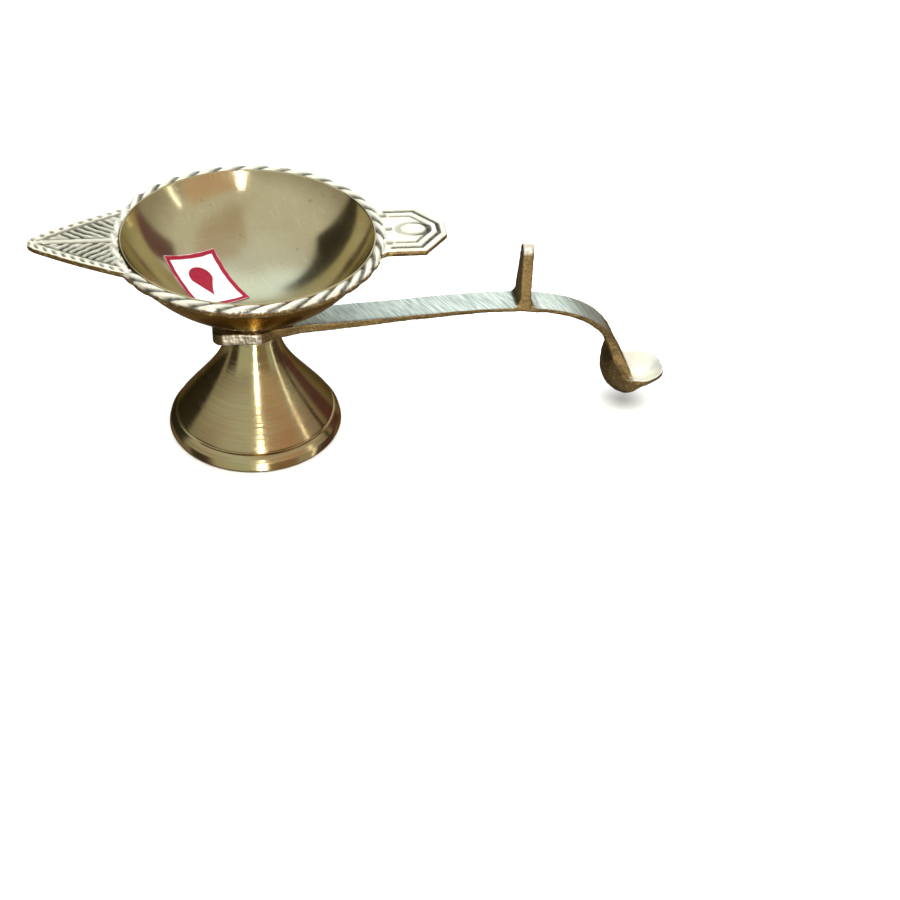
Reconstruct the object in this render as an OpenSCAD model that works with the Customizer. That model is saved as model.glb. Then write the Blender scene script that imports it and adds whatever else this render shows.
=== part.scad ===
// Brass oil lamp (diya) with a leaf-shaped wick spout, a long strap handle and a turned foot.
// The cup's cast shank drops through the handle's eye and the foot, and a nut clamps the stack.
// The origin is the centre of the foot on the table. +Z is up and +X runs along the handle.

/* [Foot] */
// Outside diameter of the foot ring
foot_d = 41; // [36:0.5:46]
// Height of the plain band round the bottom of the foot
band_h = 2.4; // [1.5:0.1:3.2]
// Height of the turned foot, from the table to the face under the handle's eye
foot_h = 26.1; // [24:0.1:30]
// Diameter of the neck that the eye rests on
neck_d = 12.4; // [11.5:0.1:14]
// Height of the hollow under the foot, from the table to its ceiling
hollow_h = 15; // [12:0.5:18]

/* [Cup] */
// Diameter of the bowl's opening
opening_d = 55; // [50:0.5:60]
// Depth of the bowl below its rim
bowl_depth = 17.6; // [15:0.1:20]
// Thickness of the bowl's wall
bowl_wall = 1.6; // [1.2:0.1:2.2]
// Height of the bowl's rim above the table
rim_z = 52; // [50:0.2:58]
// Width of the roped rim, measured outwards from the opening
rope_w = 2.7; // [2:0.1:3.6]
// Number of strands round the roped rim
rope_strands = 34; // [20:1:48]
// Diameter of the boss under the bowl
boss_d = 12.6; // [11:0.1:15]

/* [Spout and rear tab] */
// Distance from the lamp's axis to the spout's tip
spout_reach = 47; // [42:0.5:52]
// Radius of the spout's rounded tip
spout_tip_r = 2.6; // [1.5:0.1:3.5]
// Number of veins on each side of the spout's midrib
veins = 6; // [3:1:8]
// Distance from the lamp's axis to the rear tab's end
tab_reach = 43.6; // [40:0.2:48]
// Width of the rear tab
tab_w = 18.4; // [14:0.2:22]
// Thickness of the spout and the rear tab
plate_t = 1.4; // [1.2:0.1:2.2]
// Depth of the engraved lines
engraving = 0.4; // [0.2:0.05:0.6]

/* [Handle] */
// Thickness of the eye plate that is clamped between the cup and the foot
eye_t = 2.9; // [2.2:0.1:3.5]
// Width of the strap
strap_w = 7.5; // [6:0.1:10]
// Height of the strap's underside above the table at the top of its arch
arch_z = 30.1; // [29.6:0.1:31]
// Distance from the lamp's axis to the tip of the handle's leaf
handle_reach = 100.8; // [98:0.2:104]
// Width of the cupped leaf at the end of the handle
leaf_w = 13; // [10:0.2:16]
// Distance from the lamp's axis to the thumb tab
thumb_x = 63; // [58:0.5:68]
// Height of the top of the thumb tab above the table
thumb_z = 46.4; // [42:0.2:50]
// Thickness of the thumb tab
thumb_t = 3; // [2:0.1:4]

/* [Clamp] */
// Diameter of the cup's threaded shank
shank_d = 5; // [4:0.5:6]
// Distance across the nut's flats
nut_flats = 8; // [7:0.5:9]
// Height of the nut
nut_h = 4; // [3:0.5:5]
// Diameter of the washer
washer_d = 10; // [9:0.5:12]
// Thickness of the washer
washer_t = 1; // [0.5:0.1:1.2]

/* [Size label] */
// Width of the paper size label
label_w = 13.6; // [10:0.2:16]
// Length of the paper size label
label_l = 16.2; // [10:0.2:18]
// Thickness of the paper
label_t = 0.2; // [0.15:0.05:0.4]
// Heading of the label's centre round the bowl, counted from the handle
label_heading = 158; // [100:1:180]
// Climb of the label's centre up the bowl's side, seen from the bowl's centre
label_climb = 21.5; // [20:0.5:30]
// Turn of the label about its own centre
label_turn = 52.5; // [-90:0.5:90]

/* [Hidden] */
$fn = 96;
CLEARANCE = 0.05;          // radial gap of the shank in the eye and in the foot
LEAF_TIP = 8.2;            // from the middle of the handle's leaf to its tip
ABOVE = 60;                // taller than the handle, for shapes drawn from above
ACROSS = 30;               // wider than the handle, for shapes drawn from the side

foot_r = foot_d / 2;
neck_r = neck_d / 2;
shank_r = shank_d / 2;
opening_r = opening_d / 2;
bowl_r = (opening_r ^ 2 + bowl_depth ^ 2) / (2 * bowl_depth);
bowl_centre_z = rim_z - bowl_depth + bowl_r;
rim_r = opening_r + rope_w;
eye_top_z = foot_h + eye_t;
plate_z = rim_z - 0.5 - plate_t;
washer_z = hollow_h - washer_t;
nut_z = washer_z - nut_h;
shank_end_z = nut_z - 1.5;
leaf_x = handle_reach - LEAF_TIP;

// A point on a cubic Bezier curve, and n + 1 points along it.
function bezier_at(p, t) =
    (1 - t) ^ 3 * p[0] + 3 * t * (1 - t) ^ 2 * p[1] + 3 * t ^ 2 * (1 - t) * p[2] + t ^ 3 * p[3];
function bezier(p, n) = [for (i = [0 : n]) bezier_at(p, i / n)];

// n + 1 points on an arc of radius r about c, from angle a to angle b.
function arc(c, r, a, b, n) =
    [for (i = [0 : n]) let (u = a + (b - a) * i / n) c + r * [cos(u), sin(u)]];

// All points but the first, so that two curves can be joined end to end.
function after_first(points) = [for (i = [1 : len(points) - 1]) points[i]];

// The same points in the other order, on the other side of the X axis.
function mirrored(points) = [for (i = [len(points) - 1 : -1 : 0]) [points[i][0], -points[i][1]]];

// ---- Foot ----

groove_r = foot_r - 1.9;
groove_z = band_h + 1.7;

module pedestal_section() {
    bell = bezier([[groove_r, groove_z + 0.4], [14, 11], [neck_r + 0.2, 18.5], [neck_r, foot_h]], 20);
    inside = bezier([[7.6, hollow_h], [9.2, 12.2], [13.2, 8.6], [foot_r - 3.4, 3.8]], 12);
    polygon(concat(
        [[foot_r - 2.3, 0], [foot_r - 0.3, 0], [foot_r, 0.5], [foot_r - 0.5, band_h]],
        [[groove_r + 0.4, groove_z - 0.3], [groove_r - 0.3, groove_z]],
        bell,
        [[shank_r + CLEARANCE, foot_h], [shank_r + CLEARANCE, hollow_h]],
        inside
    ));
}

module pedestal() {
    color("#b8924a") rotate_extrude() pedestal_section();
}

// ---- Handle ----

// The strap's centre line seen from the side: a long low rise, a shoulder and a drop into the leaf.
strap_mid_z = arch_z + 0.65;
drop_top = [leaf_x - 6.8, 18.8];
drop_end = [leaf_x - 1.2, 6.6];
side_mid = concat(
    bezier([[0, eye_top_z - 1.35], [22, eye_top_z - 1], [42, strap_mid_z], [57, strap_mid_z]], 8),
    after_first(bezier([[57, strap_mid_z], [73, strap_mid_z], drop_top - [3.5, -8.2], drop_top], 12)),
    after_first(bezier([drop_top, drop_top + [1.4, -3.4], drop_end + [-1.8, 5.8], drop_end], 6))
);

// Thickness of the strap along x: thin in the arch and stout in the drop.
function strap_t(x) = lookup(x, [
    [0, 2.7], [10, 2.6], [32, 1.7], [57, 1.3], [74, 1.4],
    [leaf_x - 9.6, 1.8], [leaf_x - 5.6, 2.6], [leaf_x, 3]
]);

function side_normal(i) =
    let (
        a = side_mid[max(i - 1, 0)],
        b = side_mid[min(i + 1, len(side_mid) - 1)],
        d = (b - a) / norm(b - a)
    ) [-d[1], d[0]];

module strap_side() {
    last = len(side_mid) - 1;
    upper = [for (i = [0 : last]) side_mid[i] + side_normal(i) * strap_t(side_mid[i][0]) / 2];
    lower = [for (i = [last : -1 : 0]) side_mid[i] - side_normal(i) * strap_t(side_mid[i][0]) / 2];
    polygon(concat(upper, lower));
}

// The strap's outline from above: straight, wider at the eye, and flared where it meets the leaf.
module strap_plan() {
    half = strap_w / 2;
    widest = half + 2.35;
    flare = bezier([[leaf_x - 7.6, half], [leaf_x - 5, half], [leaf_x - 3.6, half + 1.2],
        [leaf_x - 1.6, widest]], 5);
    edge = concat([[4, 5], [7, 4.5], [11, half + 0.1], [16, half]], flare, [[leaf_x + 2.4, widest]]);
    polygon(concat([[0, 5]], edge, mirrored(edge), [[0, -5]]));
}

// The leaf's outline from above, pointed at its tip and cut straight at its back.
// X counts from the leaf's centre.
module leaf_plan(back, inset = 0) {
    half = leaf_w / 2 - inset;
    tip = LEAF_TIP - inset;
    edge = bezier([[-0.2, half + 0.6], [tip - 4.4, half + 0.1], [tip - 1.6, half * 0.5], [tip, 0.6]], 9);
    polygon(concat([[-back, half + 2], [-1.6, half + 2]], edge, mirrored(edge),
        [[-1.6, -half - 2], [-back, -half - 2]]));
}

// The leaf seen from the side: its rim above, its rising underside below, and a heel behind the strap.
module leaf_side() {
    front = LEAF_TIP + 1;
    back = -9.6;
    polygon([[back, 0], [-4.2, 3], [0.4, 5], [front, 9], [front, 11], [1.4, 9.9], [-2.6, 10.3], [-4.6, 13.4],
        [-6.4, 16], [-7.9, 12.6], [back, 8]]);
}

// A cupped leaf: hollow in front of the strap, with a solid heel behind it.
module leaf() {
    wall = 1.3;
    outer_r = 8;
    outer_z = 11;
    hollow_r = 6.2;
    hollow = [1.4, 0, 13];
    heel = 1.8;
    translate([leaf_x, 0, 0]) difference() {
        intersection() {
            translate([0, 0, outer_z]) sphere(r = outer_r);
            linear_extrude(ABOVE) leaf_plan(2 * outer_r);
            rotate([90, 0, 0]) linear_extrude(ACROSS, center = true) leaf_side();
        }
        intersection() {
            translate(hollow) sphere(r = hollow_r);
            linear_extrude(ABOVE) leaf_plan(heel, wall);
        }
    }
}

// A bar on edge across the strap, wide at its foot and narrow and rounded at its top.
module thumb_tab() {
    base_z = arch_z + 0.2;
    top_r = 1.2;
    flank = bezier([[strap_w / 2, base_z], [strap_w / 2 - 1, base_z + 3], [2.1, thumb_z - 7],
        [top_r, thumb_z - top_r]], 8);
    crown = arc([0, thumb_z - top_r], top_r, 0, 180, 8);
    outline = concat(flank, [for (i = [1 : 7]) crown[i]],
        [for (i = [8 : -1 : 0]) [-flank[i][0], flank[i][1]]]);
    translate([thumb_x - thumb_t / 2, 0, 0])
        rotate([90, 0, 90])
            linear_extrude(thumb_t) polygon(outline);
}

// Small ramps that blend the thumb tab into the strap, fore and aft.
module thumb_fillets() {
    r = 1.6;
    z = arch_z + 1.2;
    sunk = 0.6;
    for (side = [-1, 1])
        translate([thumb_x + side * thumb_t / 2, 0, z])
            rotate([90, 0, 0])
                linear_extrude(strap_w - 1.4, center = true)
                    polygon(concat([[0, -sunk]],
                        [for (p = arc([r, r], r, 180, 270, 5)) [side * p[0], p[1]]],
                        [[side * r, -sunk]]));
}

// The eye plate: a disc round the shank with a blunt tongue at the front.
module eye() {
    disc_r = 6.5;
    tongue = 9.2;
    half = 6.1;
    corner_r = 2;
    translate([0, 0, foot_h]) linear_extrude(eye_t) {
        circle(r = disc_r);
        translate([corner_r - tongue, corner_r - half]) square([tongue, 2 * (half - corner_r)]);
        for (side = [-1, 1])
            translate([corner_r - tongue, side * (half - corner_r)]) circle(r = corner_r);
        translate([corner_r - tongue, -half]) square([tongue - 3, 2 * half]);
    }
}

// What is cut away round the eye, so that its clamped faces stay flat.
module eye_trims() {
    front = 20;
    back = 8;
    deep = 3;
    for (z = [foot_h - deep, eye_top_z])
        translate([-front, -front, z]) cube([front + back, 2 * front, deep]);
}

module handle() {
    color("#a98a4e") difference() {
        union() {
            eye();
            intersection() {
                rotate([90, 0, 0]) linear_extrude(ACROSS, center = true) strap_side();
                linear_extrude(ABOVE) strap_plan();
            }
            leaf();
            thumb_tab();
            thumb_fillets();
        }
        translate([0, 0, foot_h - 1]) cylinder(r = shank_r + CLEARANCE, h = eye_t + 2);
        eye_trims();
    }
}

// ---- Cup ----

// Angle at the bowl's centre between straight down and a circle of radius r on a sphere.
function climb_of(r, sphere_r) = asin(r / sphere_r);

module bowl_section() {
    outer_r = bowl_r + bowl_wall;
    centre = [0, bowl_centre_z];
    top = climb_of(opening_r, bowl_r);
    under = acos((bowl_centre_z - rim_z + 2) / outer_r);
    inside = arc(centre, bowl_r, -90, top - 90, 16);
    outside = arc(centre, outer_r, under - 90, -90, 16);
    crown = arc([opening_r + rope_w / 2 + 0.2, rim_z - 0.85], 1.2, 140, 20, 6);
    polygon(concat(inside, crown,
        [[rim_r, rim_z - 0.9], [rim_r, rim_z - 1.7], [rim_r - 0.4, rim_z - 2]], outside));
}

// The spout's outline: a rounded tip and gently bowed flanks that run into the rim.
module spout_outline(inset = 0) {
    reach = spout_reach - inset;
    r = spout_tip_r - inset * 0.6;
    flank = bezier([[reach - r * 0.5, r * 0.93], [41, 5.6 - inset * 0.8], [34, 10 - inset],
        [25.8, 15.2 - inset]], 10);
    tip = arc([reach - r, 0], r, 60, 0, 4);
    edge = concat([for (i = [10 : -1 : 1]) flank[i]], tip);
    mirror([1, 0]) polygon(concat([[10, 0], [22, 18.2 - inset]], edge,
        mirrored([for (i = [0 : len(edge) - 2]) edge[i]]), [[22, -18.2 + inset]]));
}

// The rear tab's outline: parallel sides, two chamfers and a short flat end.
module tab_outline(inset = 0) {
    half = tab_w / 2 - inset;
    end = tab_reach - inset;
    polygon([[10, -half - 3], [26, -half - 2], [29.5, -half], [end - 5.6, -half],
        [end, -2.4 + inset * 0.4], [end, 2.4 - inset * 0.4],
        [end - 5.6, half], [29.5, half], [26, half + 2], [10, half + 3]]);
}

module plates() {
    difference() {
        translate([0, 0, plate_z]) linear_extrude(plate_t) {
            spout_outline();
            tab_outline();
        }
        // The plates stop at the bowl's outer face.
        translate([0, 0, bowl_centre_z]) sphere(r = bowl_r + bowl_wall / 2, $fn = 120);
    }
}

// Grooves at a slant across the rim part it into the strands of a rope.
module rope_grooves() {
    slant = -50;
    for (i = [0 : rope_strands - 1])
        rotate([0, 0, i * 360 / rope_strands])
            translate([opening_r + rope_w / 2 + 0.3, 0, rim_z + 0.32])
                rotate([0, 0, slant])
                    rotate([45, 0, 0])
                        cube([4.6, 0.8, 0.8], center = true);
}

module spout_veins() {
    top_z = plate_z + plate_t;
    first_x = 31.2;
    spacing = 2.1;
    lean = 35;
    translate([-spout_reach + 4, -0.25, top_z - engraving]) cube([11.5, 0.5, 1]);
    for (side = [-1, 1])
        for (i = [0 : veins - 1]) {
            x = first_x + i * spacing;
            length = 9.6 - i * 1.3;
            translate([-x, side * 0.7, top_z - engraving])
                rotate([0, 0, side > 0 ? 180 - lean : 180 + lean])
                    translate([0, -0.3, 0]) cube([length, 0.6, 1]);
        }
}

module tab_lines() {
    top_z = plate_z + plate_t;
    for (inset = [1.4, 3.6])
        translate([0, 0, top_z - engraving]) linear_extrude(1) difference() {
            tab_outline(inset);
            tab_outline(inset + 0.7);
            translate([-50, -50]) square([50 + opening_r + rope_w + 1, 100]);
        }
}

module cup() {
    color("#c7a55a") difference() {
        union() {
            rotate_extrude() bowl_section();
            plates();
            translate([0, 0, eye_top_z])
                cylinder(d = boss_d, h = rim_z - bowl_depth - bowl_wall / 2 - eye_top_z);
            translate([0, 0, shank_end_z]) {
                cylinder(r1 = shank_r - 0.5, r2 = shank_r, h = 0.5);
                translate([0, 0, 0.5]) cylinder(r = shank_r, h = eye_top_z - shank_end_z);
            }
        }
        rope_grooves();
        spout_veins();
        tab_lines();
    }
}

// ---- Clamp ----

module washer() {
    color("#9c7f45") translate([0, 0, washer_z]) difference() {
        cylinder(d = washer_d, h = washer_t);
        translate([0, 0, -1]) cylinder(r = shank_r + 0.2, h = washer_t + 2);
    }
}

module nut() {
    color("#b39550") translate([0, 0, nut_z]) difference() {
        cylinder(r = nut_flats / 2 / cos(30), h = nut_h, $fn = 6);
        translate([0, 0, -1]) cylinder(r = shank_r, h = nut_h + 2);
    }
}

// ---- Label ----

module size_label() {
    gap = 0.02;
    color("#c8203c") translate([0, 0, bowl_centre_z])
        rotate([0, 0, label_heading])
            rotate([0, -label_climb, 0])
                intersection() {
                    difference() {
                        sphere(r = bowl_r - gap, $fn = 120);
                        sphere(r = bowl_r - gap - label_t, $fn = 120);
                    }
                    rotate([0, 0, label_turn])
                        translate([-label_w / 2, -label_l / 2, -bowl_r - 1])
                            cube([label_w, label_l, bowl_r / 2]);
                }
}

pedestal();
handle();
cup();
washer();
nut();
size_label();
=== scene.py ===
"""Looks of a brass oil lamp (diya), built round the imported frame. Sizes here are in millimetres."""

import math

import bmesh
import bpy
import numpy as np
from mathutils import Matrix, Vector


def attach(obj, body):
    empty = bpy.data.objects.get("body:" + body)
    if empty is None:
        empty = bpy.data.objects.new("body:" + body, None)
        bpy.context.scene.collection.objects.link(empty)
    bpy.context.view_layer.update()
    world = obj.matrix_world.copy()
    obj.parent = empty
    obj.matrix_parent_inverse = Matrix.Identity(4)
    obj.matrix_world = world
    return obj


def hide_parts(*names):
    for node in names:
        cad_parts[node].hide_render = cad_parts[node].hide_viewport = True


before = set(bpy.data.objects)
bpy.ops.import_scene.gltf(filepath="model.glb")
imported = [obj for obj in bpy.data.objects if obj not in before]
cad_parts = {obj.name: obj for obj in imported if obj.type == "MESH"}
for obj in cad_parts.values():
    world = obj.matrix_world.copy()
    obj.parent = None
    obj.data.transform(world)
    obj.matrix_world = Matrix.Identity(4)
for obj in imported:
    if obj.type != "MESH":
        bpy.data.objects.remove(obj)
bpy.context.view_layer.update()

MM = 0.001
TAU = 2 * math.pi


# ---------------------------------------------------------------- camera

# Heading, pitch and roll in degrees, and the place in metres.
CAMERA_AIM = (-12, 40.192, -4.337)
CAMERA_PLACE = (-0.00806, -0.26581, 0.21538)


def make_camera():
    """Looks down at the lamp from the front, a little to its left."""
    heading, pitch, roll = (math.radians(a) for a in CAMERA_AIM)
    ahead = Vector((0, math.cos(pitch), -math.sin(pitch)))
    right = Vector((1, 0, 0))
    down = Vector((0, -math.sin(pitch), -math.cos(pitch)))
    x = right * math.cos(roll) + down * math.sin(roll)
    y = right * math.sin(roll) - down * math.cos(roll)
    turn = Matrix.Rotation(heading, 3, "Z") @ Matrix((x, y, -ahead)).transposed()
    data = bpy.data.cameras.new("camera")
    data.sensor_width = 36
    data.lens = 56
    data.clip_start, data.clip_end = 0.01, 20
    camera = bpy.data.objects.new("camera", data)
    camera.matrix_world = Matrix.Translation(CAMERA_PLACE) @ turn.to_4x4()
    bpy.context.scene.collection.objects.link(camera)
    bpy.context.scene.camera = camera


make_camera()


# ---------------------------------------------------------------- curves and meshes

def bezier(points, n):
    """n + 1 points along a cubic Bezier curve."""
    p = np.array(points, float)
    t = np.linspace(0, 1, n + 1)[:, None]
    u = 1 - t
    return u ** 3 * p[0] + 3 * t * u ** 2 * p[1] + 3 * t ** 2 * u * p[2] + t ** 3 * p[3]


def arc(centre, radius, start, end, n):
    """n + 1 points on an arc, with angles in degrees."""
    a = np.radians(np.linspace(start, end, n + 1))
    return np.stack([centre[0] + radius * np.cos(a), centre[1] + radius * np.sin(a)], 1)


def smoothstep(low, high, x):
    """0 at low, 1 at high and smooth between. low may be the larger one."""
    t = np.clip((x - low) / (high - low), 0, 1)
    return t * t * (3 - 2 * t)


def dent(x, centre, half, soft):
    """1 within half of centre, falling to 0 over soft."""
    return 1 - smoothstep(half - soft / 2, half + soft / 2, np.abs(x - centre))


def wavy(x, y, z, seed, size):
    """Smooth noise from a few sine waves, about -1 to 1."""
    random = np.random.RandomState(seed)
    total = 0
    for _ in range(6):
        k = random.normal(size=3) * TAU / size
        total = total + np.sin(k[0] * x + k[1] * y + k[2] * z + random.uniform(0, TAU))
    return total / 3


def make(name, verts, faces, tones=None, smooth=True):
    """A mesh object from points in millimetres. tones is one RGB row per point."""
    mesh = bpy.data.meshes.new(name)
    mesh.from_pydata((np.asarray(verts, float) * MM).tolist(), [], [list(f) for f in faces])
    mesh.validate()
    mesh.polygons.foreach_set("use_smooth", [smooth] * len(mesh.polygons))
    if tones is not None:
        paint(mesh, tones)
    piece = bpy.data.objects.new(name, mesh)
    bpy.context.scene.collection.objects.link(piece)
    return piece


def paint(mesh, tones):
    """Stores the tones, which the materials mix their colours by."""
    layer = mesh.color_attributes.new("tone", "FLOAT_COLOR", "POINT")
    colours = np.column_stack([tones, np.ones(len(tones))]).astype(np.float32)
    layer.data.foreach_set("color", colours.ravel())


def quads(rows, columns, wrap_rows=False, wrap_columns=False):
    """Faces of a grid of points that is stored row by row."""
    i = np.arange(rows if wrap_rows else rows - 1)[:, None]
    j = np.arange(columns if wrap_columns else columns - 1)[None, :]
    i2, j2 = (i + 1) % rows, (j + 1) % columns
    cells = [i * columns + j, i * columns + j2, i2 * columns + j2, i2 * columns + j]
    return np.stack([c + 0 * i + 0 * j for c in cells], -1).reshape(-1, 4)


def lathe(name, profile, turns):
    """Turns a profile of (radius, height) points about Z.

    A profile that starts and ends on the axis is closed there. Any other joins up with its start."""
    p = np.array(profile, float)
    closed = p[0][0] > 0
    ring = p if closed else p[1:-1]
    a = np.arange(turns) * TAU / turns
    xyz = np.stack([ring[:, :1] * np.cos(a), ring[:, :1] * np.sin(a), ring[:, 1:] + 0 * a], -1)
    verts = xyz.reshape(-1, 3)
    faces = quads(len(ring), turns, closed, True).tolist()
    if not closed:
        low, high = len(verts), len(verts) + 1
        verts = np.vstack([verts, [[0, 0, p[0][1]], [0, 0, p[-1][1]]]])
        last = (len(ring) - 1) * turns
        for i in range(turns):
            j = (i + 1) % turns
            faces.append([low, j, i])
            faces.append([high, last + i, last + j])
    return finished(make(name, verts, faces))


def finished(piece):
    """Points the faces outwards."""
    bm = bmesh.new()
    bm.from_mesh(piece.data)
    bmesh.ops.recalc_face_normals(bm, faces=bm.faces)
    bm.to_mesh(piece.data)
    bm.free()
    return piece


def loft(rings):
    """Points and faces of a closed solid through rings with the same number of points."""
    rings = np.array(rings, float)
    count, around = rings.shape[:2]
    verts = np.vstack([rings.reshape(-1, 3), rings[0].mean(0), rings[-1].mean(0)])
    faces = quads(count, around, False, True).tolist()
    first, last = len(verts) - 2, len(verts) - 1
    base = (count - 1) * around
    for i in range(around):
        j = (i + 1) % around
        faces.append([first, j, i])
        faces.append([last, base + i, base + j])
    return verts, faces


def plate(upper, lower):
    """Points and faces of the solid between two grids of points."""
    rows, columns = upper.shape[:2]
    verts = np.vstack([upper.reshape(-1, 3), lower.reshape(-1, 3)])
    n = rows * columns
    grid = quads(rows, columns)
    index = np.arange(n).reshape(rows, columns)
    edge = np.concatenate([index[0, :-1], index[:-1, -1], index[-1, :0:-1], index[:0:-1, 0]])
    following = np.roll(edge, -1)
    sides = np.stack([edge, following, following + n, edge + n], 1)
    return verts, np.vstack([grid, grid[:, ::-1] + n, sides]).tolist()


def slab(outline_x, outline_w, bend, top, bottom, across):
    """Points, faces and plan of a plate between two height fields.

    Station i of the outline is outline_w[i] wide to each side. bend(t) moves the first stations along X,
    so that the plate's inner end follows the bowl. top and bottom are functions of x and y."""
    t = np.linspace(-1, 1, across)
    share = np.linspace(1, 0, len(outline_x))[:, None] ** 1.5
    x = np.asarray(outline_x)[:, None] + bend(t)[None, :] * share
    y = np.asarray(outline_w)[:, None] * t[None, :]
    verts, faces = plate(np.stack([x, y, top(x, y)], -1), np.stack([x, y, bottom(x, y)], -1))
    return verts, faces, x, y


def round_end(radius, half_width):
    """The bend of a plate whose inner end follows a circle."""
    half = math.asin(half_width / radius)
    return lambda t: radius * (np.cos(t * half) - math.cos(half))


# ---------------------------------------------------------------- materials

def linear(rgb):
    """A colour given as it looks on screen, 0 to 255, for Blender's sockets."""
    return tuple((c / 255 / 12.92) if c <= 10 else ((c / 255 + 0.055) / 1.055) ** 2.4 for c in rgb) + (1,)


def wire(tree, made, sockets):
    """Links or sets a node's sockets, by name or index."""
    for socket, value in sockets.items():
        if isinstance(value, bpy.types.NodeSocket):
            tree.links.new(value, made.inputs[socket])
        else:
            made.inputs[socket].default_value = value


def add_node(tree, kind, sockets=None, out=0, **settings):
    """Adds a node and returns its output."""
    made = tree.nodes.new("ShaderNode" + kind)
    for setting, value in settings.items():
        setattr(made, setting, value)
    wire(tree, made, sockets or {})
    return made.outputs[out]


def add_mix(tree, factor, a, b):
    """Mixes two colours, each a colour or an output."""
    made = tree.nodes.new("ShaderNodeMix")
    made.data_type = "RGBA"
    wire(tree, made, {0: factor, 6: a, 7: b})
    return made.outputs[2]


class Surface:
    """A procedural material, built node by node."""

    def __init__(self, name, **sockets):
        self.material = bpy.data.materials.new(name)
        self.material.use_nodes = True
        self.tree = self.material.node_tree
        self.shader = self.tree.nodes["Principled BSDF"]
        for socket, value in sockets.items():
            self.shader.inputs[socket.replace("_", " ")].default_value = value
        self.place = self.node("TexCoord", out="Object")
        self.bumps = None

    def node(self, kind, sockets=None, out=0, **settings):
        return add_node(self.tree, kind, sockets, out, **settings)

    def stretched(self, scale, turn=0):
        """The place, turned about Z by degrees and then scaled."""
        turned = self.node("Mapping", {"Vector": self.place, "Rotation": (0, 0, math.radians(turn))})
        return self.node("Mapping", {"Vector": turned, "Scale": scale})

    def height(self):
        """Height above the table, in metres."""
        return self.node("SeparateXYZ", {0: self.place}, 2)

    def noise(self, scale, detail, at=None, rough=0.5):
        sockets = {"Vector": at or self.place, "Scale": scale, "Detail": detail, "Roughness": rough}
        return self.node("TexNoise", sockets, "Fac")

    def spread(self, value, low, high, to_low=0.0, to_high=1.0):
        """Maps low to high onto another range, clamped."""
        return self.node("MapRange", {"Value": value, "From Min": low, "From Max": high,
                                      "To Min": to_low, "To Max": to_high}, "Result")

    def maths(self, operation, a, b=0.0):
        return self.node("Math", {0: a, 1: b}, operation=operation)

    def mix(self, factor, a, b):
        return add_mix(self.tree, factor, a, b)

    def tones(self):
        """The three tones that are stored at the mesh's points."""
        colour = self.node("Attribute", out="Color", attribute_name="tone")
        made = self.tree.nodes.new("ShaderNodeSeparateColor")
        self.tree.links.new(colour, made.inputs[0])
        return made.outputs[0], made.outputs[1], made.outputs[2]

    def bump(self, height, distance, strength):
        """Adds a layer of bump. distance is in millimetres."""
        sockets = {"Height": height, "Distance": distance * MM, "Strength": strength}
        if self.bumps is not None:
            sockets["Normal"] = self.bumps
        self.bumps = self.node("Bump", sockets)

    def done(self, colour, rough):
        wire(self.tree, self.shader, {"Base Color": colour, "Roughness": rough, "Normal": self.bumps})
        return self.material


# Stretch of the noise, turn in degrees, strength.
SCRATCHES = (
    ((110, 2300, 400), 62, 0.2),
    ((90, 2900, 500), 100, 0.14),
    ((150, 3400, 600), -20, 0.18),
)


def polished_brass():
    """The inside of the bowl: bright, with fine turning marks and hairline scratches."""
    s = Surface("polished_brass", Metallic=1.0)
    cloud = s.noise(70, 4)
    blotch = s.noise(24, 2)
    colour = s.mix(s.spread(cloud, 0.35, 0.7), linear((222, 213, 176)), linear((204, 192, 150)))
    colour = s.mix(s.spread(blotch, 0.55, 0.75, 0, 0.35), colour, linear((196, 160, 128)))
    spots = s.spread(s.noise(420, 2), 0.68, 0.8)
    colour = s.mix(s.maths("MULTIPLY", spots, 0.5), colour, linear((120, 108, 76)))
    rings = s.node("TexWave", {"Vector": s.place, "Scale": 900.0, "Distortion": 1.2, "Detail": 3.0,
                               "Detail Scale": 0.4}, "Fac", wave_type="RINGS", rings_direction="Z")
    hair = s.noise(1.0, 2, s.stretched((260, 5200, 900), 35))
    bottom = s.spread(s.height(), 0.0415, 0.0365)
    haze = s.maths("MULTIPLY", bottom, s.spread(cloud, 0.3, 0.65, 0.25, 0.7))
    colour = s.mix(haze, colour, linear((226, 224, 200)))
    s.bump(rings, 0.006, 0.35)
    s.bump(s.spread(hair, 0.56, 0.72), 0.004, 0.5)
    for scale, turn, share in SCRATCHES:
        scratch = s.spread(s.noise(1.0, 2, s.stretched(scale, turn)), 0.64, 0.72, 0, share)
        colour = s.mix(scratch, colour, linear((255, 250, 226)))
    satin = s.spread(s.noise(160, 5), 0.3, 0.75, 0.09, 0.18)
    return s.done(colour, s.maths("ADD", satin, s.maths("MULTIPLY", haze, 0.12)))


def ground_brass():
    """The cup's rim and plates: pale where they are ground, dark in their recesses, golden underneath."""
    s = Surface("ground_brass", Metallic=0.7, Specular_Tint=(0.55, 0.5, 0.42, 1))
    top, deep, _ = s.tones()
    grain = s.noise(900, 5, rough=0.65)
    cloud = s.noise(150, 4)
    golden = s.mix(s.spread(cloud, 0.35, 0.7), linear((128, 104, 62)), linear((90, 72, 40)))
    golden = s.mix(s.spread(grain, 0.54, 0.7, 0, 0.5), golden, linear((240, 214, 158)))
    pale = s.mix(s.spread(cloud, 0.3, 0.75), linear((255, 252, 238)), linear((236, 234, 212)))
    colour = s.mix(top, golden, pale)
    worn = s.maths("MULTIPLY", deep, s.spread(grain, 0.25, 0.6, 0.75, 1.0))
    colour = s.mix(worn, colour, linear((46, 50, 38)))
    s.bump(grain, 0.05, 0.6)
    s.bump(s.noise(2600, 2), 0.02, 0.5)
    rough = s.spread(grain, 0.3, 0.7, 0.24, 0.46)
    return s.done(colour, rough)


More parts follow.
